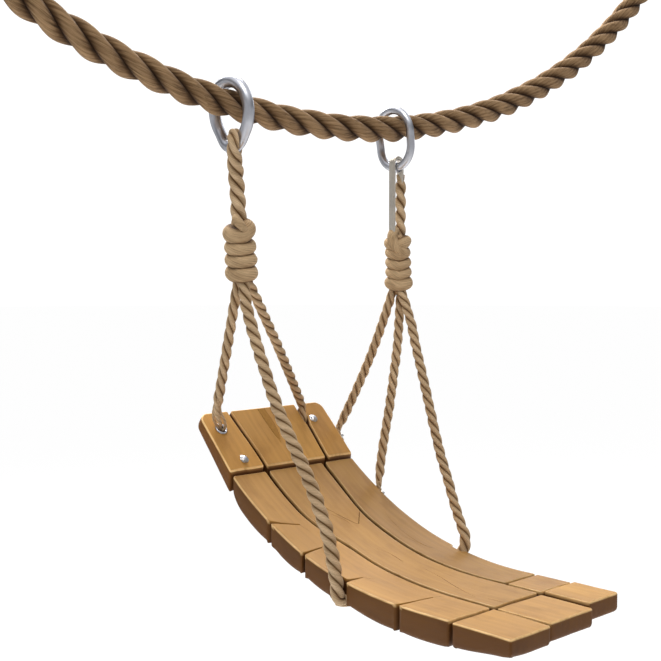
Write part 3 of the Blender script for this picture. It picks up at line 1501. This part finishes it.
crack(
    "crack_end_1", "end_mid", 0.0009, CRACK, (0.3, 0.3),
    [(0.0029, -0.0843), (0.0051, -0.1080), (0.0110, -0.1300)], drop=0.0020,
)

LINE_TOP = PANEL_LEN - 0.0032  # the carved lines start here, just below the panel's top edge
# x of the band's edges, as (share of the way down, x)
BAND_LEFT = ((0.0, -0.0130), (0.48, -0.0107), (1.0, -0.0051))
BAND_RIGHT = ((0.0, 0.0036), (0.48, 0.0058), (0.80, 0.0005), (1.0, -0.0045))


def carved_band(rows=26, columns=4):
    """A shallow carved band on the panel's face, from the top edge down to a point."""
    verts = []
    for i in range(rows + 1):
        share = i / rows
        along = mix(min(along_of(0.5860), LINE_TOP), along_of(0.5220), share)
        left, right = (float(np.interp(share, *zip(*side))) for side in (BAND_LEFT, BAND_RIGHT))
        for j in range(columns + 1):
            x = mix(left, right, j / columns)
            _, wave = surface_shift(x, along, BOARDS["panel_mid"][0])
            verts.append(panel_map(x, along, -wave - 0.00014))
    faces = grid_faces(rows + 1, columns + 1, tube=False)
    add_solid("panel_band_1", verts, faces, BAND)


carved_band()
# width, material, taper, (x, distance up the panel) points
PANEL_LINES = (
    (0.0010, CRACK, (0.02, 0.3),
     [(-0.0130, LINE_TOP), (-0.0107, along_of(0.5552)), (-0.0051, along_of(0.5228))]),
    (0.0008, FAINT, (0.02, 0.3),
     [(0.0036, LINE_TOP), (0.0058, along_of(0.5538)), (-0.0020, along_of(0.5225))]),
    (0.0008, FAINT, (0.02, 0.4),
     [(0.0180, LINE_TOP), (0.0150, along_of(0.5640)), (0.0110, along_of(0.5479))]),
)
for number, values in enumerate(PANEL_LINES, 1):
    crack(f"panel_line_{number}", "panel_mid", *values, to_world=panel_map)


# ---------------------------------------------------------------- bolts and eyelet
def panel_place(x, y):
    turn = PANEL_N.to_track_quat("Z", "Y").to_matrix().to_4x4()
    return Matrix.Translation(on_panel(x, y)) @ turn


# radius, height
BOLT_DOME = (
    (0.0, 0.0056), (0.0012, 0.0055), (0.0026, 0.0052), (0.0042, 0.0045), (0.0056, 0.0034),
    (0.0066, 0.0021), (0.0070, 0.0014), (0.0080, 0.0014), (0.0088, 0.0009), (0.0091, 0.0000),
    (0.0088, -0.0006), (0.0060, -0.0008), (0.0060, -0.004),
)
lathe("bolt_near_head", BOLT_DOME, panel_place(-0.1085, 0.5055), CHROME)
lathe("bolt_far_head", BOLT_DOME, panel_place(0.1093, 0.5575), CHROME)
rim = [(0.0078, -0.016), (0.0078, -0.004)]
for i in range(13):
    angle = math.pi * (1.25 - 1.5 * i / 12)
    rim.append((0.0101 + 0.0023 * math.cos(angle), 0.0006 + 0.0021 * math.sin(angle)))
rim.append((0.0092, -0.0006))
lathe("eyelet_rim", rim, panel_place(*EYELET), CHROME, sharp=50, replaces=("eyelet",))

# ---------------------------------------------------------------- leg rope helpers
LEG_R = 0.0094
LEG_LAY_L, LEG_LAY_R = 0.080, 0.066
TOP_L, TOP_R = 0.5060, 0.4920  # where the legs start, inside the knots
CLUSTER_R = 0.0080
BLEND_L = ("hanger_left", "seat", (APEX_L.x, LINE_Y, 0.497), (APEX_L.x, LINE_Y, 0.420))
LEG_LOOK = dict(wobble=0.030, depth=0.74)
THIN_UNIT = 0.012


def leg_start(apex, z, degrees):
    """Where a leg leaves its knot. The left knot sits to the viewer's right of its line."""
    angle = math.radians(degrees)
    x, y = apex.x + CLUSTER_R * math.cos(angle), apex.y + CLUSTER_R * math.sin(angle)
    return Vector((x, y, z)) + VIEW_RIGHT * (0.0085 if apex is APEX_L else 0.0)


def leg_path(begin, end, after=(), bow=Vector((0, 0, 0))):
    """A straight run, bowed sideways in the middle, then the points after it."""
    run = [
        begin.lerp(end, share) + bow * math.sin(math.pi * share)
        for share in (0.12, 0.3, 0.5, 0.7, 0.88)
    ]
    return spline([begin, *run, end, *after], 14)


def stopper(name, top, direction, radius, seed):
    """A short tail with two turns of rope round it."""
    down = Vector(direction).normalized()
    side = down.orthogonal().normalized()
    other = down.cross(side)
    path = spline([top - down * 0.010, top, top + down * 0.004, top + down * 0.020], 8)
    laid_rope(name + "_tail", path, radius, lay=0.030, body="seat", per_strand=8, depth=0.7,
              seed=seed, unit_length=THIN_UNIT)
    for i, (below, turn_r) in enumerate(((0.0052, 0.0050), (0.0118, 0.0046))):
        reach = radius + turn_r * 0.55
        points = []
        for j in range(40):
            angle = math.tau * j / 40
            centre = top + down * (below + 0.0012 * math.sin(angle))
            round_it = side * (reach * math.cos(angle)) + other * (reach * math.sin(angle))
            points.append(centre + round_it)
        laid_rope(
            f"{name}_turn_{i + 1}", points, turn_r, lay=0.04, body="seat", material=KNOTTED,
            hand=1, per_strand=8, depth=0.4, closed=True, step=0.0012, seed=seed + i,
            unit_length=THIN_UNIT,
        )


def tail(name, points, seed):
    """The rope's thin end, through an anchor eye."""
    laid_rope(name, spline(points, 10), radius=0.0058, lay=0.034, body="seat", per_strand=9,
              seed=seed, unit_length=THIN_UNIT)


# ---------------------------------------------------------------- rear left leg
# comes down to the eyelet and opens into its strands there
FORK = Vector((-0.1397, 0.5475, 0.2600))
TOWARD = TO_VIEWER + Vector((0, 0, 0.05))
begin = leg_start(APEX_L, TOP_L, 120)
laid_rope(
    "leg_rear_left_rope", leg_path(begin, FORK), LEG_R, LEG_LAY_L, BLEND_L,
    replaces=("leg_rear_left",), phase=0.3, seed=1.1,
    scale=lambda t: 1.0 + 0.06 * ease(t, 0.7, 0.9) - 0.46 * ease(t, 0.90, 1.0), **LEG_LOOK,
)


def thinning(share):
    return 1.0 - 0.52 * ease(share, 0.35, 0.85)


# across the view, towards the viewer, radius, rise at the eyelet, size along the strand
FORK_STRANDS = (
    (-0.0092, 0.0, 0.0030, 0.0, full_size),
    (0.0, 0.0060, 0.0058, 0.0030, thinning),
    (0.0092, 0.0, 0.0030, 0.0, full_size),
)
eye = on_panel(*EYELET)
for i, (across, near, radius, rise, scale) in enumerate(FORK_STRANDS):
    spread = VIEW_RIGHT * across + TOWARD * near
    path = spline([
        FORK.lerp(begin, 0.12) + spread * 0.35,
        FORK + spread * 0.62,
        FORK.lerp(eye, 0.45) + spread,
        FORK.lerp(eye, 0.75) + spread * 0.95 + PANEL_N * 0.002,
        on_panel(EYELET[0], EYELET[1] + rise, 0.002) + spread * 0.62,
        on_panel(*EYELET, -0.014) + spread * 0.22,
    ])
    laid_rope(
        f"leg_rear_left_strand_{i + 1}", path, radius, lay=0.036, body="seat", per_strand=8,
        depth=0.45, crease=0.55, seed=1.2 + i * 0.1, unit_length=THIN_UNIT, scale=scale,
    )
stopper("leg_rear_left_stopper", on_panel(*EYELET, -0.0262), -PANEL_N, 0.0052, seed=2.1)

# ---------------------------------------------------------------- middle left leg
# to the groove near the panel's top, where it tucks in
TUCK_X = 0.0905
path = leg_path(
    leg_start(APEX_L, TOP_L, 0), on_panel(0.0850, 0.5790, 0.016),
    after=[
        on_panel(0.0890, 0.5700, 0.0035), on_panel(TUCK_X, 0.5600, -0.007),
        on_panel(TUCK_X, 0.5590, -0.022), on_panel(TUCK_X, 0.5600, -0.030),
    ],
    bow=VIEW_RIGHT * 0.0050 - Vector((0, 0, 0.005)),
)
laid_rope(
    "leg_middle_left_rope", path, LEG_R, LEG_LAY_L, BLEND_L, replaces=("leg_middle_left",),
    phase=1.3, seed=1.5, scale=lambda t: mix(1.0, 0.64, ease(t, 0.84, 0.96)), **LEG_LOOK,
)
stopper(
    "leg_middle_left_stopper", on_panel(TUCK_X, 0.5615, -0.0262), -PANEL_N, 0.0050, seed=2.4
)

# ---------------------------------------------------------------- anchor eyes in the far side
EYE_OUT, EYE_R, EYE_BAR_R = 0.0132, 0.0092, 0.0025
# radius, height
EYE_SHANK = (
    (0.0, 0.0052), (0.0020, 0.0050), (0.0024, 0.0040), (0.0024, 0.0018), (0.0056, 0.0014),
    (0.0062, 0.0006), (0.0062, -0.0006), (0.0024, -0.0010), (0.0024, -0.028), (0.0, -0.030),
)
for label, y, z, face in (
    ("rear", 0.5450, 0.1830, PANEL_HALF_W),
    ("front", 0.4250, 0.0825, HALF_W),
):
    centre = Vector((face + EYE_OUT, y, z))
    loop = []
    for i in range(40):
        angle = math.tau * i / 40
        x = centre.x + EYE_R * math.cos(angle)
        loop.append((x, centre.y + EYE_R * math.sin(angle), centre.z))
    bar_loop(
        f"anchor_eye_{label}_loop", loop, EYE_BAR_R, SCREW_STEEL, sides=16, step=0.0011,
        replaces=(f"anchor_eye_{label}",),
    )
    place = Matrix.Translation((face, y, z)) @ Matrix.Rotation(math.radians(90), 4, "Y")
    lathe(f"anchor_eye_{label}_shank", EYE_SHANK, place, SCREW_STEEL, sides=24)

# ---------------------------------------------------------------- right legs, to the anchor eyes
path = leg_path(
    leg_start(APEX_R, TOP_R, 150), Vector((0.1664, 0.5440, 0.1980)), bow=VIEW_RIGHT * 0.0075
)
laid_rope(
    "leg_rear_right_rope", path, LEG_R, LEG_LAY_R, "seat", replaces=("leg_rear_right",),
    phase=0.2, seed=1.7, scale=lambda t: mix(1.0, 0.64, ease(t, 0.92, 1.0)), **LEG_LOOK,
)
stopper(
    "leg_rear_right_stopper", Vector((0.1662, 0.5460, 0.1780)), (0, 0.05, -1), 0.0052, seed=2.6
)
tail(
    "leg_rear_right_tail",
    [(0.1664, 0.5432, 0.204), (0.1663, 0.5445, 0.194), (0.1662, 0.5455, 0.182),
     (0.1662, 0.5460, 0.174)],
    seed=2.9,
)

MIDDLE_RIGHT = (
    (0.2180, 0.4225, 0.440), (0.2125, 0.4220, 0.380), (0.2040, 0.4225, 0.325),
    (0.1935, 0.4230, 0.264), (0.1825, 0.4235, 0.215), (0.1720, 0.4240, 0.165),
    (0.1650, 0.4248, 0.120), (0.1632, 0.4250, 0.0995),
)
laid_rope(
    "leg_middle_right_rope", spline([leg_start(APEX_R, TOP_R, 20), *MIDDLE_RIGHT], 14),
    LEG_R, LEG_LAY_R, "seat", replaces=("leg_middle_right",), phase=0.8, seed=1.9,
    scale=lambda t: mix(1.0, 0.62, ease(t, 0.93, 1.0)), **LEG_LOOK,
)
tail(
    "leg_middle_right_tail",
    [(0.1633, 0.4250, 0.106), (0.1632, 0.4250, 0.095), (0.1632, 0.4250, 0.083),
     (0.1632, 0.4250, 0.075)],
    seed=3.1,
)
stopper(
    "leg_middle_right_stopper", Vector((0.1632, 0.4250, 0.0790)), (0, 0, -1), 0.0052, seed=3.3
)

# ---------------------------------------------------------------- sling
# down from the left knot, under the seat and up to the right knot
SLING_Y, SLING_Z, BEND_R, BEND_X = 0.2045, -0.0222, 0.0135, 0.1400
SLING_DOWN = (
    (-0.1860, 0.4010, 0.462), (-0.1842, 0.3830, 0.412), (-0.1800, 0.3600, 0.354),
    (-0.1752, 0.3350, 0.295), (-0.1700, 0.2990, 0.232), (-0.1645, 0.2610, 0.170),
    (-0.1600, 0.2390, 0.122), (-0.1565, 0.2230, 0.080), (-0.1555, 0.2100, 0.034),
)
SLING_UNDER = (
    (-0.07, SLING_Y, SLING_Z - 0.0006), (0, SLING_Y, SLING_Z - 0.0010),
    (0.07, SLING_Y, SLING_Z - 0.0006),
)
SLING_UP = (
    (0.1600, 0.1990, 0.028), (0.1620, 0.2120, 0.056), (0.1665, 0.2300, 0.085),
    (0.1725, 0.2530, 0.130), (0.1790, 0.2800, 0.180), (0.1860, 0.3090, 0.250),
    (0.1922, 0.3370, 0.320), (0.1988, 0.3600, 0.372), (0.2045, 0.3800, 0.420),
)


def sling_bend(side, first, last):
    """Five points round the seat's lower edge on one side."""
    points = []
    for i in range(5):
        angle = math.radians(mix(first, last, i / 4))
        x = side * (BEND_X + BEND_R * math.sin(angle))
        points.append(Vector((x, SLING_Y, SLING_Z + BEND_R * (1 - math.cos(angle)))))
    return points


near_bend, far_bend = sling_bend(-1, 90, 0), sling_bend(1, 0, 90)
down = spline([
    leg_start(APEX_L, TOP_L, 240), *SLING_DOWN, near_bend[0] + Vector((0, 0, 0.006)),
    near_bend[1],
])
under = spline([*near_bend[1:], *SLING_UNDER, *far_bend[:4]], 8)
up = spline([
    far_bend[3], far_bend[4] + Vector((0.001, 0, 0.006)), *SLING_UP,
    leg_start(APEX_R, TOP_R - 0.0050, 240),
])
laid_rope(
    "sling_rope_laid", np.vstack([down[:-1], under[:-1], up]), radius=0.0108, lay=0.069,
    body=(
        "hanger_left", "seat", (APEX_L.x, LINE_Y, 0.502), (APEX_L.x + 0.055, LINE_Y, 0.450)
    ),
    replaces=("sling_rope",), phase=2.0, step=0.0021, seed=2.3,
    scale=lambda t: 1.0 + 0.12 * ease(t, 0.10, 0.30) - 0.245 * ease(t, 0.595, 0.68),
    **LEG_LOOK,
)

# ---------------------------------------------------------------- CAD pieces that stay
KEPT_MATERIALS = {
    "batten": BATTEN, "screw": SCREW_STEEL, "nut": SCREW_STEEL, "bolt": SCREW_STEEL,
    "sleeve": STEEL,
}
for label, node in frame["nodes"].items():
    kind = next((kind for kind in KEPT_MATERIALS if label.startswith(kind)), None)
    if node.hide_render or kind is None:
        continue
    node.data.materials.clear()
    node.data.materials.append(KEPT_MATERIALS[kind])
    weld = node.modifiers.new("weld", "WELD")
    weld.merge_threshold = 0.00002
    edge = node.modifiers.new("edge", "BEVEL")
    edge.width = 0.0012 if kind == "batten" else 0.0003
    edge.segments = 2
    edge.limit_method = "ANGLE"
    edge.angle_limit = math.radians(40)


# ---------------------------------------------------------------- stage, light and camera
def floor_material():
    """Pale floor that mostly glows white to the camera."""
    mat = Material("pale_floor")
    mat.finish({"Base Color": (0.93, 0.93, 0.93), "Roughness": 0.9, "Specular IOR Level": 0.1})
    glow = mat.node("ShaderNodeEmission", {"Color": WHITE, "Strength": 1.06})
    seen = mat.node("ShaderNodeLightPath").outputs["Is Camera Ray"]
    feeds = {0: mat.weigh((seen, 0.90)), 1: mat.shader.outputs[0], 2: glow.outputs[0]}
    blend = mat.node("ShaderNodeMixShader", feeds)
    mat.feed(mat.tree.nodes["Material Output"].inputs["Surface"], blend.outputs[0])
    return mat.material


def build_floor():
    mesh = bpy.data.meshes.new("floor")
    shape = bmesh.new()
    bmesh.ops.create_circle(shape, cap_ends=True, segments=64, radius=40)
    shape.to_mesh(mesh)
    shape.free()
    floor = bpy.data.objects.new("floor", mesh)
    scene.collection.objects.link(floor)
    floor.location = (0, 0.3, -0.75)
    mesh.materials.append(floor_material())


# what polished metal reflects: height from straight down (0) to straight up (1), brightness
MIRROR_STOPS = (
    (0.0, 0.07), (0.30, 0.24), (0.47, 1.10), (0.53, 2.20), (0.60, 0.16), (0.70, 0.30),
    (0.84, 2.40), (1.0, 1.70),
)


def build_world():
    """A soft sky for lighting, white to the camera, with bright bands for reflections."""
    world = bpy.data.worlds.new("studio")
    scene.world = world
    world.use_nodes = True
    graph = Graph(world.node_tree)
    coords = graph.node("ShaderNodeTexCoord").outputs["Generated"]
    height = graph.node("ShaderNodeSeparateXYZ", {0: coords}).outputs["Z"]
    sky = graph.ramp(height, (0.0, (0.50, 0.50, 0.52)), (0.75, (1.0, 1.0, 1.0)))
    seen = graph.node("ShaderNodeLightPath").outputs
    colour = graph.mix(seen["Is Camera Ray"], sky, (2.6, 2.6, 2.6))
    stops = [(at, (value, value * 1.01, value * 1.04)) for at, value in MIRROR_STOPS]
    mirror = graph.ramp(graph.weigh((height, 0.5), base=0.5), *stops)
    background = graph.tree.nodes["Background"]
    graph.feed(background.inputs["Color"], graph.mix(seen["Is Glossy Ray"], colour, mirror))
    background.inputs["Strength"].default_value = 0.42


def area_light(name, place, target, size, power, colour, size_y=None):
    light = bpy.data.lights.new(name, "AREA")
    light.energy = power
    light.color = colour
    light.shape = "RECTANGLE"
    light.size = size
    light.size_y = size_y or size
    obj = bpy.data.objects.new(name, light)
    scene.collection.objects.link(obj)
    obj.location = place
    aim = Vector(target) - Vector(place)
    obj.rotation_euler = aim.to_track_quat("-Z", "Y").to_euler()


def build_camera():
    data = bpy.data.cameras.new("camera")
    data.lens = 61.28
    data.sensor_width = 36.0
    data.clip_start = 0.05
    camera = bpy.data.objects.new("camera", data)
    scene.collection.objects.link(camera)
    camera.location = (-1.3913, -1.1237, 0.5187)
    camera.rotation_euler = (math.radians(90 - 3.05), 0, VIEW_AZ)
    scene.camera = camera


build_floor()
build_world()
area_light(
    "key", place=(-1.2, -0.7, 3.4), target=(0.1, 0.3, 0.3), size=1.6, power=50,
    colour=(1.0, 0.985, 0.96),
)
area_light(
    "top", place=(0.9, 2.4, 2.8), target=(0.1, 0.2, 0.1), size=1.8, power=190,
    colour=(1.0, 0.995, 0.985),
)
area_light(
    "rim", place=(2.8, 1.6, 1.6), target=(0.1, 0.4, 0.6), size=0.8, power=22,
    colour=(0.92, 0.96, 1.0), size_y=1.8,
)
build_camera()
scene.view_settings.view_transform = "Standard"
